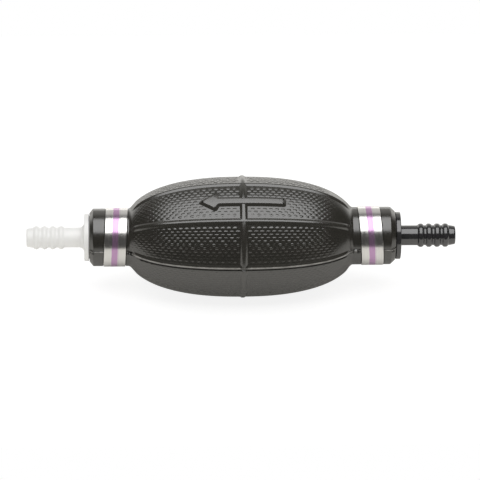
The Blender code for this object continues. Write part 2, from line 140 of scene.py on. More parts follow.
# Ribs, the middle ring and the panels between them
PANEL = math.tau / 8
PANEL_CURVE = 0.6
PANEL_FADE = (NECK_RADIUS + 1 * MM, NECK_RADIUS + 9 * MM)
RIB_STAND = 0.25 * MM
RIB_HEIGHT = 0.45 * MM
RIB_TOP_HALF = 0.52 * MM
RIB_BASE_HALF = 1.5 * MM
RIB_FADE = (45.5 * MM, 49 * MM)
RING_HEIGHT = 0.5 * MM
RING_CURVE = 0.79
RING_TOP_HALF = 0.62 * MM
RING_BASE_HALF = 1.7 * MM
RING_UNDER_ARROW, RING_FREE = 0.6 * MM, 1.8 * MM
RING_ARROW_RISE = (-0.4 * MM, 0.6 * MM)
RIB_FILLET = 0.12 * MM
RIDGE_EDGE_ROUND, RIDGE_FOOT_ROUND = 0.35, 0.2

# Bumps. A fade or a rise is the stretch over which they come or go, and by the split it is a share
# of the radius.
BUMP_ROWS = 11
BUMP_ROW_STEP = math.radians(3.2)
BUMP_PITCH = 2.66 * MM
BUMP_HALF_LENGTH = 1.1 * MM
BUMP_HALF_WIDTH = 0.64 * MM
BUMP_HEIGHT = 0.18 * MM
BUMP_RING_FADE = (2.2 * MM, 2.6 * MM)
BUMP_ARROW_FADE = (0.9 * MM, 1.5 * MM)
BUMP_OUTLET_FADE = (-49 * MM, -46 * MM)
BUMP_OUTLET_RISE = (-46 * MM, -33 * MM)
BUMP_INLET_FADE = (34 * MM, 43 * MM)
BUMP_SPLIT_FADE = (0.14, 0.34)
BUMP_LEAST_BY_SPLIT = 0.3
BUMP_LOW_TURN, BUMP_LOW_WIDTH, BUMP_LOSS = math.radians(80), math.radians(9), 0.35
BUMP_VARIATION = 0.15

# Marks of the split between the mould's halves. An edge is where a mark ends, measured from its
# middle. Rough places are the middles and widths of where the flash is torn.
CREASE_DEPTH = 0.6 * MM
CREASE_BELOW = 1.15 * MM
CREASE_WIDTH = 0.36 * MM
CREASE_FADE = (44 * MM, 48 * MM)
FLASH_FADE = (46 * MM, 49 * MM)
FLASH_LEAST, FLASH_MORE, FLASH_EDGE = 0.14 * MM, 0.16 * MM, (0.05 * MM, 0.4 * MM)
TORN_HEIGHT, TORN_EDGE = 0.45 * MM, (0.2 * MM, 0.9 * MM)
PIT_DEPTH, PIT_BELOW, PIT_EDGE = 0.7 * MM, 0.5 * MM, (0.3 * MM, 1.1 * MM)
RAGGED_WAVES, RAGGED_DRIFT = 5200, 1700
ROUGH_PLACES = ((50.2 * MM, 2.0 * MM), (66.8 * MM, 0.9 * MM))

# Where the rubber is rubbed pale: close to the split, and off the middle ring
RUBBED_EDGE = (0.2 * MM, 0.5 * MM)
RUBBED_RING_FADE = (1.3 * MM, 2.0 * MM)

# The flow arrow: its outline along the bulb and across, and its flank as offsets from the outline
# in mm with shares of its height
ARROW_TURN = math.radians(66.5)
ARROW_HEIGHT = 1.0 * MM
ARROW_OUTLINE = MM * np.array(
    [
        (-19.3, 0),
        (-12.4, 4.4),
        (-11.0, 1.85),
        (18.2, 1.85),
        (18.2, -1.85),
        (-11.0, -1.85),
        (-12.4, -4.4),
    ]
)
ARROW_CORNER = 0.45 * MM
ARROW_STEP = 0.5 * MM
ARROW_FLANK = np.array(
    [
        (0.95, -0.35),
        (0.75, -0.03),
        (0.48, 0.13),
        (0.08, 0.43),
        (-0.30, 0.73),
        (-0.50, 0.88),
        (-0.66, 0.96),
        (-0.85, 1.0),
    ]
)

# The bulb's mesh: finer zones on the ribs and the middle ring, then zones along it from the ring
# outwards, with their outer edges and their steps in mm. PROBE is how far to each side a surface's
# direction is measured.
RIB_ZONE, RIB_STEP, PANEL_STEP = 1.6 * MM, 0.13 * MM, 0.29 * MM
RING_ZONE, RING_STEP = 1.8 * MM, 0.12 * MM
ZONE_EDGES = {OUTLET: (49.5, 52.5, 59.9, 62.2, 65.7), INLET: (49.2, 53.2, 60, 62.8, 65.7)}
ZONE_STEPS = (0.29, 0.2, 0.85, 0.2, 0.5, 0.15)
PROBE = 0.02 * MM
INSIDE_ROWS, INSIDE_COLUMNS = 61, 15

# The valve springs: the share of each that is closed turns, and how evenly the rest climbs
WIRE_RADIUS = 0.25 * MM
COIL_RADIUS = 2.3 * MM
COIL_TURNS = 5.0
COIL_CLOSED, COIL_EVEN = 0.12, 0.24
COIL_STEPS = 240
WIRE_SIDES = 12

# How each kind of surface mirrors, and the depth of fine grain
DEEP_SHINE = {"ior": 1.62, "specular_ior_level": 1.0}
PLAIN_SHINE = {"ior": 1.5, "specular_ior_level": 0.5}
GRAIN_DEPTH = 0.02 * MM

# The table top, and the camera with how much of the pump's length it takes in
TABLE_LOW, TABLE_HIGH = (-0.3, -0.125), (0.3, 0.24)
SENSOR_WIDTH = 36
CAMERA_DISTANCE = 1.8
CAMERA_ROLL = math.radians(0.65)
CAMERA_SHIFT = (-1.0 * MM, -1.6 * MM, 0)
FRAME_WIDTH = 213.312 * MM


def smoothstep(low, high, value):
    """0 below low, 1 above high, and 3t^2 - 2t^3 between them."""
    t = np.clip((value - low) / (high - low), 0, 1)
    return t * t * (3 - 2 * t)


def smoothfall(low, high, value):
    """1 below low and 0 above high."""
    return 1 - smoothstep(low, high, value)


def bell(value, width):
    """1 at 0, falling to 1/e at the width."""
    return np.exp(-((value / width) ** 2))


def crossing(a, b, blend):
    """How far a parabola of that width stands over the larger of a and b where they cross."""
    near = np.maximum(blend - np.abs(a - b), 0) / blend
    return near * near * blend / 4


def smooth_max(a, b, blend):
    """The larger of a and b, rounded where they cross."""
    return np.maximum(a, b) + crossing(a, b, blend)


def join(a, b, blend):
    """The larger of two heights, with a fillet where they meet above 0."""
    return np.maximum(a, b) + crossing(a, b, blend) * np.clip(np.minimum(a, b) / blend, 0, 1)


def swell_radius(x):
    """Radius of the swell: R (1 - |x/reach|^power)^roundness."""
    share = np.minimum(np.abs(x - SWELL_CENTRE) / SWELL_REACH, 1)
    return BULB_RADIUS * (1 - share**SWELL_POWER) ** SWELL_ROUNDNESS


def ridge(off_middle, top_half, base_half):
    """Share of a ridge's height: straight flanks from its foot to its flat top, both rounded."""
    ramp = (base_half - off_middle) / (base_half - top_half)
    return smooth_max(-smooth_max(-ramp, -1, RIDGE_EDGE_ROUND), 0, RIDGE_FOOT_ROUND)


class Meridian:
    """The bulb's outside line as a function of the length along it from the middle ring's plane.

    Its radius is the smooth maximum of the swell and the neck, less a cone at each neck's end.
    """

    def __init__(self):
        self.x = np.linspace(-NECK_END, NECK_END, MERIDIAN_SAMPLES)
        radius = smooth_max(swell_radius(self.x), NECK_RADIUS, NECK_BLEND)
        long = np.where(self.x < 0, NECK_CHAMFER_LONG[OUTLET], NECK_CHAMFER_LONG[INLET])
        cone = NECK_RADIUS - (np.abs(self.x) - NECK_END + long) * NECK_CHAMFER_DEEP / long
        self.radius = -smooth_max(-radius, -cone, CHAMFER_BLEND)
        steps = np.hypot(np.diff(self.x), np.diff(self.radius))
        length = np.concatenate([[0], np.cumsum(steps)])
        self.along = length - np.interp(0, self.x, length)
        slope = np.gradient(self.radius, self.x)
        self.normal_x = -slope / np.hypot(slope, 1)
        self.normal_r = 1 / np.hypot(slope, 1)

    def at_x(self, x):
        return np.interp(x, self.x, self.along)

    def place(self, along, height):
        """X and radius of a point at a height above the line."""
        x, radius, normal_x, normal_r = (
            np.interp(along, self.along, values)
            for values in (self.x, self.radius, self.normal_x, self.normal_r)
        )
        return x + height * normal_x, radius + height * normal_r


meridian = Meridian()


def around(x, radius, turn):
    """Points at an X, a radius and a turn: (x, -r cos turn, r sin turn)."""
    x, radius, turn = np.broadcast_arrays(x, radius, turn)
    return np.stack([x, -radius * np.cos(turn), radius * np.sin(turn)], axis=-1)


def unit(vectors):
    return vectors / np.linalg.norm(vectors, axis=-1, keepdims=True)


def outline_distance(along, across, outline):
    """Signed distance to a closed outline: the nearest edge's distance, negative inside."""
    distance = np.full(np.broadcast(along, across).shape, np.inf)
    crossings = np.zeros(distance.shape, int)
    for (x0, y0), (x1, y1) in zip(outline, np.roll(outline, -1, axis=0)):
        long, wide = x1 - x0, y1 - y0
        t = ((along - x0) * long + (across - y0) * wide) / (long**2 + wide**2)
        t = np.clip(t, 0, 1)
        distance = np.minimum(distance, np.hypot(along - x0 - t * long, across - y0 - t * wide))
        if y0 != y1:
            spans = (across < y0) != (across < y1)
            crossings += spans & (along < x0 + (across - y0) * long / wide)
    return np.where(crossings % 2, -distance, distance)


def arrow_distance(along, turn):
    """Signed distance to the flow arrow's outline on the bulb."""
    return outline_distance(along, (turn - ARROW_TURN) * BULB_RADIUS, ARROW_OUTLINE)


def bumps(along, turn):
    """Height of the staggered bumps: in each row, h (1 - u^3 - v^2)^1.4 round the nearest bump's
    middle, where u and v are shares of its half length and half width.

    The rows run along the bulb, side by side in each panel between two ribs, and every other row is
    half a pitch further on. The bumps shrink to nothing at the middle ring, the arrow and the
    necks. They are lower just above the mould's split and above the arrow, and differ a little.
    """
    panel_turn = np.mod(turn, PANEL) - PANEL / 2
    row = np.clip(np.round(panel_turn / BUMP_ROW_STEP), -(BUMP_ROWS // 2), BUMP_ROWS // 2)
    off_row = panel_turn - row * BUMP_ROW_STEP
    row_turn = turn - off_row
    shift = 0.5 * np.mod(row, 2)
    middle = (np.round(along / BUMP_PITCH - shift) + shift) * BUMP_PITCH
    middle_x, _ = meridian.place(middle, 0)

    size = smoothstep(*BUMP_RING_FADE, np.abs(middle)) * smoothstep(*BUMP_OUTLET_FADE, middle_x)
    size = size * (0.5 + 0.5 * smoothstep(*BUMP_OUTLET_RISE, middle_x))
    size = size * smoothfall(*BUMP_INLET_FADE, middle_x)
    off_split = np.sin(row_turn)
    least = np.where(off_split < 0, 1.0, BUMP_LEAST_BY_SPLIT)
    size = size * (least + (1 - least) * smoothstep(*BUMP_SPLIT_FADE, np.abs(off_split)))
    size = size * (1 - BUMP_LOSS * bell(turn - BUMP_LOW_TURN, BUMP_LOW_WIDTH))
    wander = middle / BUMP_PITCH * 9.7 + row * 23.1 + np.floor(turn / PANEL) * 5.3
    size = size * (1 - BUMP_VARIATION + BUMP_VARIATION * np.sin(wander))
    size = size * smoothstep(*BUMP_ARROW_FADE, arrow_distance(middle, row_turn))

    u = np.abs(along - middle) / BUMP_HALF_LENGTH
    v = off_row * BULB_RADIUS / BUMP_HALF_WIDTH
    return BUMP_HEIGHT * size * np.maximum(1 - u**3 - v * v, 0) ** 1.4


def band_places(side):
    """Where a band starts and ends along X, nearest the bulb first."""
    low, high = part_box("outlet_crimp_band" if side == OUTLET else "inlet_crimp_band")
    return (high.x, low.x) if side == OUTLET else (low.x, high.x)


def lean(side, radius, turn):
    """How far a leaning band's edge is from square at a turn."""
    return LEAN[side] * radius * np.cos(turn - LEAN_TURN)


def panel_drop(turn, curve):
    """How far a panel between two ribs lies inside the circle, as a share of its radius, where it
    has a share of the circle's curve: (1 - curve)/2 (edge^2 - angle^2)."""
    angle = np.mod(turn, PANEL) - PANEL / 2
    return (1 - curve) / 2 * ((PANEL / 2) ** 2 - angle**2)


def skin(along, turn):
    """Height of the bulb's skin over the outside line: flatter panels that fade to the necks."""
    _, radius = meridian.place(along, 0)
    height = RIB_STAND - panel_drop(turn, PANEL_CURVE) * radius
    return height * smoothstep(*PANEL_FADE, radius)


def ridges(along, turn):
    """Height of the ribs and the middle ring over the skin: the higher one wins, with a fillet.
    The ring's top is rounder than the panels, and stays low under the arrow."""
    x, radius = meridian.place(along, 0)
    off_rib = np.abs(np.mod(turn + PANEL / 2, PANEL) - PANEL / 2) * radius
    rib = RIB_HEIGHT * ridge(off_rib, RIB_TOP_HALF, RIB_BASE_HALF)
    rib = rib * smoothfall(*RIB_FADE, np.abs(x - SWELL_CENTRE))
    ring = RING_HEIGHT + RIB_STAND - panel_drop(turn, RING_CURVE) * radius - skin(along, turn)
    rise = smoothstep(*RING_ARROW_RISE, arrow_distance(along, turn))
    ring = np.minimum(ring, RING_UNDER_ARROW + (RING_FREE - RING_UNDER_ARROW) * rise)
    ring = ring * ridge(np.abs(along), RING_TOP_HALF, RING_BASE_HALF)
    return join(rib, ring, RIB_FILLET)


def split_marks(along, turn):
    """Height of what the mould's split left at the front and the back: a crease below it along the
    swell, and thin flash along the necks that is torn and pitted next to the bands."""
    x, radius = meridian.place(along, 0)
    from_middle = np.abs(x)
    above = np.sin(turn) * radius
    off = np.abs(np.mod(turn + math.pi / 2, math.pi) - math.pi / 2) * radius
    crease = CREASE_DEPTH * bell(above + CREASE_BELOW, CREASE_WIDTH)
    ragged = 0.5 + 0.5 * np.sin(x * RAGGED_WAVES + 3 * np.sin(x * RAGGED_DRIFT))
    rough = sum(bell(from_middle - place, width) for place, width in ROUGH_PLACES)
    flash = (FLASH_LEAST + FLASH_MORE * ragged) * smoothfall(*FLASH_EDGE, off)
    torn = TORN_HEIGHT * ragged * rough * smoothfall(*TORN_EDGE, off)
    off_pits = np.abs(above + PIT_BELOW)
    pits = PIT_DEPTH * (1 - ragged) * rough * smoothfall(*PIT_EDGE, off_pits)
    neck = (flash + torn - pits) * smoothstep(*FLASH_FADE, from_middle)
    return neck - crease * smoothfall(*CREASE_FADE, from_middle)


def relief(along, turn):
    """Height of all that stands on the bulb's skin. Each neck has a shallow seat that its band
    presses into the rubber."""
    height = ridges(along, turn) + bumps(along, turn) + split_marks(along, turn)
    x, radius = meridian.place(along, 0)
    for side in (OUTLET, INLET):
        start, end = band_places(side)
        square_x = side * (x - lean(side, radius, turn))
        inside = smoothstep(side * start - SEAT_FAR, side * start - SEAT_NEAR, square_x)
        inside = inside * smoothfall(side * end + SEAT_NEAR, side * end + SEAT_FAR, square_x)
        height = height * (1 - inside) - SEAT_DEPTH * inside
    return height


def on_bulb(along, turn, height):
    """Points at a height over the bulb's skin."""
    x, radius = meridian.place(along, skin(along, turn) + height)
    return around(x, radius, turn)


def outside_point(along, turn):
    return on_bulb(along, turn, relief(along, turn))


def runs(*parts):
    """Places from end to end of the given (start, end, step) parts, without the doubles."""
    places = []
    for start, end, step in parts:
        count = max(int(round(abs(end - start) / step)), 1)
        places.append(np.linspace(start, end, count + 1)[:-1])
    return np.concatenate([*places, [parts[-1][1]]])


def places_along():
    """Places along the bulb, closest at the middle ring, the bands' edges and the necks' ends."""
    parts = {}
    for side in (OUTLET, INLET):
        edges = [meridian.at_x(side * edge * MM) for edge in ZONE_EDGES[side]]
        edges = [side * RING_ZONE, *edges, meridian.at_x(side * NECK_END)]
        parts[side] = list(zip(edges, edges[1:], (step * MM for step in ZONE_STEPS)))
    inwards = [(end, start, step) for start, end, step in reversed(parts[OUTLET])]
    return runs(*inwards, (-RING_ZONE, RING_ZONE, RING_STEP), *parts[INLET])


def places_across(first_turn):
    """Turns across a quarter of the bulb, closest on its three ribs."""
    zone, fine, plain = RIB_ZONE / BULB_RADIUS, RIB_STEP / BULB_RADIUS, PANEL_STEP / BULB_RADIUS
    turns = runs(
        (0, zone, fine),
        (zone, PANEL - zone, plain),
        (PANEL - zone, PANEL + zone, fine),
        (PANEL + zone, 2 * PANEL - zone, plain),
        (2 * PANEL - zone, 2 * PANEL, fine),
    )
    return turns + first_turn


def grid_faces(rows, columns, first=0, wrap_rows=False, wrap_columns=False):
    """Four-sided faces between neighbours on a grid of points, closed over where it wraps."""
    index = np.arange(rows * columns).reshape(rows, columns) + first
    if wrap_rows:
        index = np.vstack([index, index[:1]])
    if wrap_columns:
        index = np.hstack([index, index[:, :1]])
    corners = [index[:-1, :-1], index[1:, :-1], index[1:, 1:], index[:-1, 1:]]
    return np.stack(corners, axis=-1).reshape(-1, 4)


def capped_tube_faces(rows, columns):
    """Faces of a tube of rings, with one flat face at each end."""
    faces = grid_faces(rows, columns, wrap_columns=True)[:, ::-1].tolist()
    last = rows * columns
    return faces + [list(range(columns))[::-1], list(range(last - columns, last))]


def stitch(line_a, line_b):
    """Triangles between two lines of points with different counts: each step goes to whichever
    line is behind, measured as a share of its length."""
    ends_a = np.arange(1, len(line_a)) / (len(line_a) - 1)
    ends_b = np.arange(1, len(line_b)) / (len(line_b) - 1)
    apex_a = np.searchsorted(ends_b, ends_a - 1e-9)
    apex_b = np.searchsorted(ends_a, ends_b + 1e-9)
    along_a = np.stack([line_a[:-1], line_a[1:], line_b[apex_a]], axis=-1)
    along_b = np.stack([line_b[1:], line_b[:-1], line_a[apex_b]], axis=-1)
    return np.concatenate([along_a, along_b])


def add_piece(name, points, faces, normals, finish):
    """A smooth mesh from points, faces and the direction that each point faces."""
    mesh = bpy.data.meshes.new(name)
    mesh.from_pydata(points.reshape(-1, 3).tolist(), [], faces)
    mesh.shade_smooth()
    mesh.normals_split_custom_set_from_vertices(unit(normals.reshape(-1, 3)).tolist())
    mesh.materials.append(finish)
    piece = bpy.data.objects.new(name, mesh)
    bpy.context.collection.objects.link(piece)
    return piece


def set_attribute(piece, name, values):
    attribute = piece.data.attributes.new(name, "FLOAT", "POINT")
    attribute.data.foreach_set("value", values.astype(np.float32).ravel())


def add_bulb_quarter(name, first_turn, finish):
    """A quarter of the bulb between two ribs' crests: the relief on the outside line, a plain wall
    inside it, and flat strips that close the four sides."""
    along, turn = places_along()[:, None], places_across(first_turn)[None, :]
    outside = outside_point(along, turn)
    swing = PROBE / BULB_RADIUS
    forward = outside_point(along + PROBE, turn) - outside_point(along - PROBE, turn)
    sideways = outside_point(along, turn + swing) - outside_point(along, turn - swing)
    facing = unit(np.cross(forward, sideways))

    inside_x = np.linspace(-NECK_END, NECK_END, INSIDE_ROWS)[:, None]
    chamber_radius = swell_radius(inside_x * CHAMBER_SHORTER) - RUBBER_WALL
    inside_radius = np.maximum(NECK_HOLE, chamber_radius)
    inside_turn = np.linspace(turn[0, 0], turn[0, -1], INSIDE_COLUMNS)[None, :]
    inside = around(inside_x, inside_radius, inside_turn)
    inward = around(0, -1, inside_turn + 0 * inside_x)

    rows, columns = outside.shape[:2]
    out_index = np.arange(rows * columns).reshape(rows, columns)
    in_index = np.arange(INSIDE_ROWS * INSIDE_COLUMNS).reshape(INSIDE_ROWS, INSIDE_COLUMNS)
    in_index += rows * columns
    strips = [
        stitch(out_index[:, 0], in_index[:, 0]),
        stitch(in_index[:, -1], out_index[:, -1]),
        stitch(in_index[0], out_index[0]),
        stitch(out_index[-1], in_index[-1]),
    ]
    faces = grid_faces(rows, columns).tolist()
    faces += grid_faces(INSIDE_ROWS, INSIDE_COLUMNS, first=rows * columns)[:, ::-1].tolist()
    faces += np.concatenate(strips).tolist()
    points = np.concatenate([outside.reshape(-1, 3), inside.reshape(-1, 3)])
    normals = np.concatenate([facing.reshape(-1, 3), inward.reshape(-1, 3)])
    piece = add_piece(name, points, faces, normals, finish)

    raised = np.clip(relief(along, turn) / BUMP_HEIGHT, 0, 1)
    rubbed = raised * smoothfall(*RUBBED_EDGE, np.abs(np.sin(turn)) * BULB_RADIUS)
    rubbed = rubbed * smoothstep(*RUBBED_RING_FADE, np.abs(along))
    hidden = np.zeros(INSIDE_ROWS * INSIDE_COLUMNS)
    set_attribute(piece, "raised", np.concatenate([raised.ravel(), hidden]))
    set_attribute(piece, "rubbed", np.concatenate([rubbed.ravel(), hidden]))
    return piece


def rounded(corners, steps=6):
    """A closed outline of (x, y, radius) corners, each corner an arc of that radius."""
    corners = np.array(corners, float)
    following = np.roll(corners, -1, axis=0)
    points = []
    for i, (x, y, radius) in enumerate(corners):
        here = np.array([x, y])
        back, ahead = unit(corners[i - 1, :2] - here), unit(following[i, :2] - here)
        half_angle = math.acos(np.clip(back @ ahead, -1, 1)) / 2
        if radius <= 0 or half_angle > math.pi / 2 - 1e-4:
            points.append(here)
            continue
        reach = radius / math.tan(half_angle)
        centre = here + unit(back + ahead) * radius / math.sin(half_angle)
        start, end = here + back * reach - centre, here + ahead * reach - centre
        swing = math.atan2(start[0] * end[1] - start[1] * end[0], start @ end)
        for angle in np.linspace(0, swing, steps + 1):
            c, s = math.cos(angle), math.sin(angle)
            spoke = np.array([c * start[0] - s * start[1], s * start[0] + c * start[1]])
            points.append(centre + spoke)
    return np.array(points)


def anticlockwise(outline):
    """The outline, reversed if it runs clockwise."""
    x, y = outline.T
    area = np.sum(x * np.roll(y, -1) - np.roll(x, -1) * y)
    return outline[::-1] if area < 0 else outline


def outline_normals(outline):
    """Outward directions of a closed outline that runs anticlockwise: its edges' directions, each
    weighted by its edge's length, turned a quarter turn."""
    edges = np.roll(outline, -1, axis=0) - outline
    tangents = unit(edges + np.roll(edges, 1, axis=0))
    return np.stack([tangents[:, 1], -tangents[:, 0]], axis=-1)


def add_turned(name, outline, sides, finish, shear=None):
    """A closed (x, radius) outline carried round the X axis."""
    outline = anticlockwise(outline)
    normals = outline_normals(outline)
    turns = np.arange(sides)[None, :] * math.tau / sides
    x, radius = outline[:, :1], outline[:, 1:]
    points = around(x, radius, turns)
    facing = around(normals[:, :1], normals[:, 1:], turns)
    if shear:
        points[..., 0] += shear(radius, turns)
    faces = grid_faces(len(outline), sides, wrap_rows=True, wrap_columns=True)[:, ::-1].tolist()
    return add_piece(name, points, faces, facing, finish)


def barb_profile(tip, power):
    """Distance and radius along the barbed shaft, from the flange to the tip: the shaft plus one
    rounded ridge per barb, r = shaft + h (1 - |d|^power), with a taper to the tip."""
    distance = np.linspace(SHAFT_START, tip - NOSE_LONG, SHAFT_SAMPLES)
    radius = np.full(distance.shape, SHAFT_RADIUS)
    for i in range(BARB_COUNT):
        crest = tip - FIRST_BARB_FROM_TIP - i * BARB_PITCH
        d = np.minimum(np.abs(distance - crest) / BARB_HALF_LONG, 1)
        radius = np.maximum(radius, SHAFT_RADIUS + (BARB_RADIUS - SHAFT_RADIUS) * (1 - d**power))
    return distance, radius - TAPER_DEEP * smoothstep(tip - TAPER_LONG, tip, distance)


def add_fitting(side, tip, root_round, power, finish):
    """A ridged plug, a flange and a hose barb in one piece, hollow for the valve and the liquid."""
    plug_ridges = []
    for crest in PLUG_RIDGES:
        plug_ridges += [
            (crest - PLUG_RIDGE_LONG, PLUG_RADIUS, 0.2 * MM),
            (crest, PLUG_RIDGE_RADIUS, 0.15 * MM),
            (crest + 0.02 * MM, PLUG_RADIUS, 0),
        ]
    outer = rounded(
        [
            (PLUG_START, BORE_RADIUS, 0),
            (PLUG_START, CHAMBER_RADIUS, 0),
            (PLUG_START, PLUG_RADIUS, 0.4 * MM),
            *plug_ridges,
            (FLANGE_START, PLUG_RADIUS, 0.2 * MM),
            (FLANGE_START, FLANGE_RADIUS, 0.3 * MM),
            (FLANGE_END, FLANGE_RADIUS, 0.35 * MM),
            (FLANGE_END, SHAFT_RADIUS, root_round),
            (SHAFT_START, SHAFT_RADIUS, 0),
        ]
    )[1:-1]
    distance, radius = barb_profile(tip, power)
    nose = rounded(
        [
            (tip - NOSE_LONG, radius[-1], 0),
            (tip, radius[-1] - 0.2 * MM, 0.6 * MM),
            (tip, BORE_RADIUS, 0.25 * MM),
            (tip - 2 * MM, BORE_RADIUS, 0),
        ]
    )[1:]
    chamber = [
        (FUNNEL_END, BORE_RADIUS),
        (CHAMBER_FLOOR, FUNNEL_RADIUS),
        (CHAMBER_FLOOR, CHAMBER_RADIUS),
        (GROOVE_END, CHAMBER_RADIUS),
        (GROOVE_END, GROOVE_RADIUS),
        (GROOVE_START, GROOVE_RADIUS),
        (GROOVE_START, CHAMBER_RADIUS),
    ]
    outline = np.concatenate([outer, np.stack([distance, radius], axis=-1), nose, chamber])
    outline[:, 0] *= side
    return add_turned(f"{END[side]}_barb_fitting", outline, FITTING_SIDES, finish)


def add_crimp_band(side, finish):
    """A flat metal band with rolled edges, leaning a little where it was crimped."""
    low, high = sorted(band_places(side))
    inner = BAND_RADIUS - BAND_THICKNESS
    outline = rounded(
        [
            (low, inner, BAND_INNER_ROUND),
            (high, inner, BAND_INNER_ROUND),
            (high, BAND_RADIUS, BAND_EDGE_ROUND),
            (low, BAND_RADIUS, BAND_EDGE_ROUND),
        ]
    )
    band = add_turned(
        f"{END[side]}_steel_band",
        outline,
        BAND_SIDES,
        finish,
        shear=lambda radius, turn: lean(side, radius, turn),
    )
    points = np.array([v.co for v in band.data.vertices])
    turn = np.arctan2(points[:, 2], -points[:, 1])
    radius = np.hypot(points[:, 1], points[:, 2])
    across = points[:, 0] - lean(side, radius, turn) - (low + high) / 2
    set_attribute(band, "across", across / MM)
    return band


def add_arrow(finish):
    """The raised flow arrow: its outline in rings that climb a sloping flank from under the skin to
    a rounded edge, then a top that follows the skin, in rows from the edge to the middle line.

    Each point faces straight out of the ring's flank: h' along the outline's outward direction and
    -o' along the skin's, where o and h are the ring's offset and height."""
    corners = rounded([(x, y, ARROW_CORNER) for x, y in ARROW_OUTLINE], steps=5)
    edges = []
    for a, b in zip(corners, np.roll(corners, -1, axis=0)):
        count = max(int(np.hypot(*(b - a)) / ARROW_STEP), 1)
        edges.append(a + (b - a) * np.arange(count)[:, None] / count)
    outline = anticlockwise(np.concatenate(edges))
    outward = outline_normals(outline)

    slope = np.gradient(ARROW_FLANK, axis=0)
    slope[-1] = (-1, 0)
    rings = [
        (outline + outward * offset * MM, height, (d_height, -d_offset))
        for (offset, height), (d_offset, d_height) in zip(ARROW_FLANK, slope)
    ]
    under, top = rings[0][0], rings[-1][0]
    low, high = top[:, 0].min() + 1.0 * MM, top[:, 0].max() - 1.0 * MM
    spine = np.stack([np.clip(outline[:, 0], low, high), np.zeros(len(outline))], axis=-1)
    for share in (0.6, 0.2):
        rings.insert(0, (spine + (under - spine) * share, ARROW_FLANK[0, 1], (0, -1)))
    for share in (0.85, 0.7, 0.55, 0.4, 0.25, 0.12, 0.03):
        rings.append((spine + (top - spine) * share, 1.0, (0, 1)))
    places, levels, leans = (np.array(column) for column in zip(*rings))
    height = levels[:, None] * ARROW_HEIGHT
    along, across = places[..., 0], places[..., 1]
    out_share, up_share = leans.T[..., None, None]

    def at(along, across):
        return on_bulb(along, ARROW_TURN + across / BULB_RADIUS, height)

    forward = unit(at(along + PROBE, across) - at(along - PROBE, across))
    sideways = unit(at(along, across + PROBE) - at(along, across - PROBE))
    facing = (outward[:, :1] * forward + outward[:, 1:] * sideways) * out_share
    facing = facing + np.cross(forward, sideways) * up_share
    points = at(along, across)
    faces = capped_tube_faces(*points.shape[:2])
    return add_piece("flow_arrow", points, faces, facing, finish)


def add_spring(name, node, finish):
    """A wire coil with closed ends: a circle carried along a helix whose pitch eases from the
    closed turn at each end to the open turns between them."""
    low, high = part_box(node)
    length = high.x - low.x
    t = np.linspace(0, 1, COIL_STEPS)[:, None]
    ease = smoothstep(COIL_CLOSED, 1 - COIL_CLOSED, t) * (1 - COIL_EVEN) + COIL_EVEN * t
    x = low.x + WIRE_RADIUS + (length - 2 * WIRE_RADIUS) * ease
    ring = np.linspace(0, math.tau, WIRE_SIDES, endpoint=False)[None, :]
    turn = math.tau * COIL_TURNS * t + 0 * ring
    points = around(x + WIRE_RADIUS * np.sin(ring), COIL_RADIUS + WIRE_RADIUS * np.cos(ring), turn)
    facing = around(np.sin(ring), np.cos(ring), turn)
    faces = capped_tube_faces(COIL_STEPS, WIRE_SIDES)
    spring = add_piece(name, points, faces, facing, finish)
    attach(spring, "pump")
    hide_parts(node)
    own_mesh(spring)
    return spring


class Value:
    """A shader socket that arithmetic works on: each operator adds a Math node."""

    def __init__(self, nodes, socket):
        self.nodes = nodes
        self.socket = socket

    def maths(self, operation, *values):
        return self.nodes.add("ShaderNodeMath", {"operation": operation}, dict(enumerate(values)))

    def __add__(self, other):
        return self.maths("ADD", self, other)

    def __sub__(self, other):
        return self.maths("SUBTRACT", self, other)

    def __rsub__(self, other):
        return self.maths("SUBTRACT", other, self)

    def __mul__(self, other):
        return self.maths("MULTIPLY", self, other)

    def absolute(self):
        return self.maths("ABSOLUTE", self)

    def between(self, low, high):
        """0 below low, 1 above high and smooth between."""
        settings = {"interpolation_type": "SMOOTHSTEP"}
        return self.nodes.add("ShaderNodeMapRange", settings, {0: self, 1: low, 2: high})


class Nodes:
    """A node tree that grows call by call."""

    def __init__(self, tree):
        self.tree = tree

    def fill(self, socket, value):
        """Links a value to the socket, or puts a constant on it."""
        if isinstance(value, Value):
            self.tree.links.new(value.socket, socket)
        else:
            socket.default_value = value

    def add_outputs(self, outputs, kind, settings, sockets):
        """Adds a node, its settings first and then the values or links of its sockets, and gives
        the outputs that are asked for."""
        made = self.tree.nodes.new(kind)
        for name, value in settings.items():
            setattr(made, name, value)
        for key, value in sockets.items():
            self.fill(made.inputs[key], value)
        return [Value(self, made.outputs[output]) for output in outputs]

    def add(self, kind, settings, sockets, output=0):
        return self.add_outputs([output], kind, settings, sockets)[0]

    def rays(self, *kinds):
        """1 for rays of each kind and 0 for others."""
        outputs = [f"Is {kind} Ray" for kind in kinds]
        return self.add_outputs(outputs, "ShaderNodeLightPath", {}, {})

    def mix(self, share, first, second):
        """The first colour where the share is 0 and the second where it is 1."""
        sockets = {0: share, 6: first, 7: second}
        return self.add("ShaderNodeMix", {"data_type": "RGBA"}, sockets, output=2)


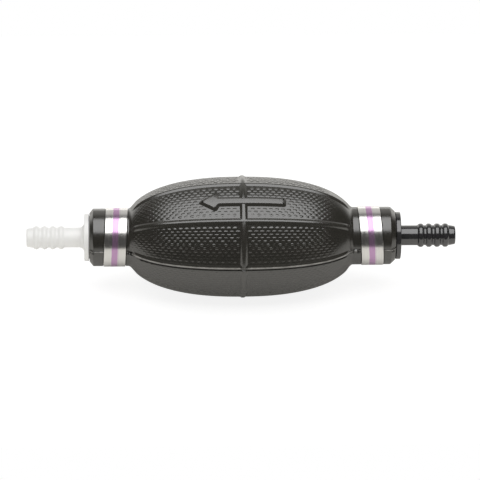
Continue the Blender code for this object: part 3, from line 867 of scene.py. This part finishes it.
class Finish(Nodes):
    """A material that is built from nodes, ending in one Principled shader."""

    def __init__(self, name, **constants):
        self.material = bpy.data.materials.new(name)
        self.material.use_nodes = True
        super().__init__(self.material.node_tree)
        self.shader = self.tree.nodes["Principled BSDF"]
        self.set(**constants)

    def set(self, **sockets):
        """Puts values or links on the shader's sockets, such as base_color or roughness."""
        for name, value in sockets.items():
            name = name.replace("_", " ").title().replace("Ior", "IOR")
            self.fill(self.shader.inputs[name], value)

    def noise(self, scale, detail=2.0, rough=0.5, stretch=(1, 1, 1)):
        """Noise of that scale on object coordinates, which are stretched along each axis."""
        place = self.add("ShaderNodeTexCoord", {}, {}, output="Object")
        place = self.add("ShaderNodeMapping", {}, {"Vector": place, "Scale": stretch})
        sockets = {"Vector": place, "Scale": scale, "Detail": detail, "Roughness": rough}
        return self.add("ShaderNodeTexNoise", {}, sockets)

    def attribute(self, name):
        """A number that the mesh carries at each point."""
        return self.add("ShaderNodeAttribute", {"attribute_name": name}, {}, output=2)

    def bump(self, height, depth, strength):
        sockets = {"Height": height, "Distance": depth, "Strength": strength}
        return self.add("ShaderNodeBump", {}, sockets)


def colour(r, g, b):
    return (r, g, b, 1.0)


def bulb_rubber():
    """Moulded black rubber: warm and cool patches, a fine matt grain, and paler tops where the
    raised parts are rubbed."""
    rubber = Finish("moulded_black_rubber", **DEEP_SHINE)
    patches = rubber.noise(45, detail=4, rough=0.6)
    grain = rubber.noise(2600, detail=3, rough=0.6)
    specks = rubber.noise(900, detail=2).between(0.66, 0.74)
    worn = rubber.noise(260, detail=3, rough=0.6).between(0.3, 0.6) * 0.5 + 0.4
    base = rubber.mix(patches, colour(0.015, 0.0145, 0.0115), colour(0.027, 0.0245, 0.019))
    base = rubber.mix(rubber.attribute("raised") * 0.2, base, colour(0.050, 0.048, 0.040))
    base = rubber.mix(rubber.attribute("rubbed") * worn, base, colour(0.30, 0.29, 0.275))
    base = rubber.mix(specks * 0.12, base, colour(0.15, 0.145, 0.125))
    rubber.set(
        base_color=base,
        roughness=patches * 0.08 + grain * 0.06 + 0.16,
        normal=rubber.bump(grain, GRAIN_DEPTH, 0.4),
    )
    return rubber.material


def arrow_rubber():
    """The same rubber on the arrow's face, a little smoother."""
    rubber = Finish("smooth_black_rubber", **DEEP_SHINE)
    patches = rubber.noise(70, detail=4, rough=0.6)
    grain = rubber.noise(2600, detail=3, rough=0.6)
    rubber.set(
        base_color=rubber.mix(patches, colour(0.022, 0.021, 0.017), colour(0.036, 0.033, 0.028)),
        roughness=patches * 0.06 + grain * 0.05 + 0.17,
        normal=rubber.bump(grain, GRAIN_DEPTH, 0.3),
    )
    return rubber.material


def moulded_plastic(name, dark, light, roughness, shine=PLAIN_SHINE):
    """Smooth moulded plastic: faint flow streaks along the piece, and a soft uneven gloss."""
    plastic = Finish(name, **shine)
    flow = plastic.noise(60, detail=3, stretch=(0.35, 1, 1))
    ripple = plastic.noise(420, detail=2, stretch=(0.6, 1, 1))
    plastic.set(
        base_color=plastic.mix(flow, colour(*dark), colour(*light)),
        roughness=ripple * 0.08 + (roughness - 0.04),
        normal=plastic.bump(ripple, GRAIN_DEPTH, 0.5),
    )
    return plastic.material


def band_steel():
    """Rolled steel strip with fine lines round it, and a line of translucent purple ink that is
    denser on one side and ragged at its edges."""
    steel = Finish("rolled_steel_with_ink")
    lines = steel.noise(1100, detail=4, rough=0.7, stretch=(1, 0.03, 0.03))
    smudge = steel.noise(160, detail=3)
    edge = steel.attribute("across") + (steel.noise(700, detail=2) - 0.5) * 0.5
    dense = 1 - (edge + 0.2).absolute().between(1.05, 1.45)
    thin = (1 - (edge - 1.2).absolute().between(0.3, 0.8)) * 0.35
    ink = (dense + thin).between(0, 1)
    bare = steel.mix(lines, colour(0.74, 0.73, 0.715), colour(0.90, 0.89, 0.87))
    purple = steel.mix(smudge, colour(0.54, 0.32, 0.54), colour(0.64, 0.41, 0.64))
    steel.set(
        base_color=steel.mix(ink, bare, purple),
        metallic=1 - ink * 0.13,
        roughness=lines * 0.14 + smudge * 0.06 + 0.13,
        normal=steel.bump(lines, GRAIN_DEPTH, 0.35),
    )
    return steel.material


def seal_rubber():
    """Smooth nitrile rubber with a faint bloom."""
    rubber = Finish("nitrile_rubber")
    bloom = rubber.noise(300, detail=4)
    rubber.set(
        base_color=rubber.mix(bloom, colour(0.015, 0.015, 0.016), colour(0.045, 0.045, 0.048)),
        roughness=bloom * 0.2 + 0.35,
        normal=rubber.bump(bloom, GRAIN_DEPTH, 0.4),
    )
    return rubber.material


def spring_steel():
    """Drawn wire with fine lines and a few darker stains."""
    steel = Finish("drawn_spring_steel", metallic=1.0)
    lines = steel.noise(2200, detail=3, rough=0.7, stretch=(1, 0.2, 0.2))
    stains = steel.noise(500, detail=3)
    steel.set(
        base_color=steel.mix(stains, colour(0.42, 0.42, 0.43), colour(0.66, 0.66, 0.66)),
        roughness=lines * 0.2 + 0.16,
        normal=steel.bump(lines, GRAIN_DEPTH / 2, 0.4),
    )
    return steel.material


def pale_floor():
    """A white floor that looks white to the camera, and darkens where it is shaded."""
    floor = Finish("white_table", roughness=0.9, specular_ior_level=0.0)
    camera, matt = floor.rays("Camera", "Diffuse")
    floor.set(
        base_color=floor.mix(camera, colour(0.70, 0.685, 0.65), colour(0.34, 0.34, 0.34)),
        emission_color=colour(1, 1, 1),
        emission_strength=camera * 0.74 + matt * 0.30 + 0.10,
    )
    return floor.material


def add_floor(height):
    """A flat table top at the given height."""
    (left, front), (right, back) = TABLE_LOW, TABLE_HIGH
    corners = [(left, front), (right, front), (right, back), (left, back)]
    mesh = bpy.data.meshes.new("table_top")
    mesh.from_pydata([(x, y, height) for x, y in corners], [], [(0, 1, 2, 3)])
    mesh.materials.append(pale_floor())
    floor = bpy.data.objects.new("table_top", mesh)
    bpy.context.collection.objects.link(floor)


def outward_from_middle(azimuth, elevation):
    """Direction from the pump's middle, by degrees round from the front and up."""
    a, e = math.radians(azimuth), math.radians(elevation)
    return Vector((math.sin(a) * math.cos(e), -math.cos(a) * math.cos(e), math.sin(e)))


def add_softbox(name, azimuth, elevation, distance, width, height, radiance):
    """A soft rectangular lamp that faces the pump's middle, with the brightness of its surface."""
    lamp = bpy.data.lights.new(name, "AREA")
    lamp.shape = "RECTANGLE"
    lamp.size, lamp.size_y = width, height
    lamp.energy = radiance * width * height * math.pi
    box = bpy.data.objects.new(name, lamp)
    out = outward_from_middle(azimuth, elevation)
    box.location = out * distance
    box.rotation_euler = (-out).to_track_quat("-Z", "Y").to_euler()
    bpy.context.collection.objects.link(box)


def add_world():
    """White for the camera. Gloss sees a bright stretch low behind the pump and little else, and
    matt surfaces get a soft light that is weaker from above."""
    world = bpy.data.worlds.new("studio")
    bpy.context.scene.world = world
    world.use_nodes = True
    sky = Nodes(world.node_tree)
    camera, glossy, through = sky.rays("Camera", "Glossy", "Transmission")
    direction = sky.add("ShaderNodeTexCoord", {}, {}, output="Generated")
    y, height = sky.add_outputs(("Y", "Z"), "ShaderNodeSeparateXYZ", {}, {0: direction})
    behind = y.between(0.45, 0.8) * (1.35 - height.between(0.08, 0.32) * 0.8) + 0.05
    plain = (1 - camera - glossy - through) * (0.65 - height.between(0.1, 0.6) * 0.45)
    background = world.node_tree.nodes["Background"]
    tint = sky.mix(camera, colour(1, 0.985, 0.95), colour(1, 1, 1))
    sky.fill(background.inputs["Color"], tint)
    sky.fill(background.inputs["Strength"], camera + (glossy + through) * behind + plain)


def add_camera():
    """A long lens at the front, a little to the left and above."""
    lens = bpy.data.cameras.new("camera")
    camera = bpy.data.objects.new("camera", lens)
    bpy.context.collection.objects.link(camera)
    out = outward_from_middle(-2, 31)
    turn = (-out).to_track_quat("-Z", "Y").to_matrix() @ Matrix.Rotation(CAMERA_ROLL, 3, "Z")
    camera.location = out * CAMERA_DISTANCE + turn @ Vector(CAMERA_SHIFT)
    camera.rotation_euler = turn.to_euler()
    lens.sensor_width = SENSOR_WIDTH
    lens.lens = SENSOR_WIDTH * CAMERA_DISTANCE / FRAME_WIDTH
    lens.clip_start, lens.clip_end = 0.1, 20
    bpy.context.scene.camera = camera


rubber = bulb_rubber()
for name, first_turn, wall in (
    ("bulb_front_top", 0, "front"),
    ("bulb_back_top", math.pi / 2, "back"),
    ("bulb_back_bottom", math.pi, "back"),
    ("bulb_front_bottom", 3 * math.pi / 2, "front"),
):
    quarter = add_bulb_quarter(name, first_turn, rubber)
    side = -1 if wall == "front" else 1
    side * 0.013
    side * 0.0272
    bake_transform(quarter)
    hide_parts("bulb_body", f"{wall}_squeeze_wall")
arrow = add_arrow(arrow_rubber())
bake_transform(arrow)

white = moulded_plastic("moulded_white_plastic", (0.85, 0.85, 0.84), (0.89, 0.89, 0.88), 0.34)
black = moulded_plastic(
    "moulded_black_plastic", (0.014, 0.014, 0.015), (0.025, 0.025, 0.026), 0.16, DEEP_SHINE
)
for side, end, tip, root_round, power, finish, slot in (
    (OUTLET, "outlet", -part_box("outlet_fitting")[0].x, 2.2 * MM, 1.8, white, "white_plastic"),
    (INLET, "inlet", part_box("inlet_fitting")[1].x, 0.5 * MM, 2.8, black, "black_plastic"),
):
    fitting = add_fitting(side, tip, root_round, power, finish)
    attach(fitting, "pump")
    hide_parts(f"{end}_fitting")
steel = band_steel()
for side, end in END.items():
    band = add_crimp_band(side, steel)
    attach(band, "pump")
    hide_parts(f"{end}_crimp_band")

wire = spring_steel()
for end, fixed_end in (("outlet", -62.4 * MM), ("inlet", 53.4 * MM)):
    add_spring(f"{end}_coil_spring", f"{end}_valve_spring", wire)
acetal = moulded_plastic("natural_acetal", (0.70, 0.67, 0.58), (0.80, 0.78, 0.70), 0.42)
nitrile = seal_rubber()
for end in END.values():
    for node, finish in (
        ("valve_seat", acetal),
        ("seat_oring", nitrile),
        ("poppet", acetal),
        ("poppet_seal", nitrile),
        ("stem_guide", acetal),
        ("retaining_ring", wire),
    ):
        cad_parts[f"{end}_{node}"].material_slots[0].material = finish

lowest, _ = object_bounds()
add_floor(lowest.z)
add_world()
add_softbox(
    "overhead_softbox", azimuth=0, elevation=79, distance=1.2, width=1.6, height=1.39, radiance=2.2
)
add_camera()

scene = bpy.context.scene
scene.view_settings.view_transform = "Standard"
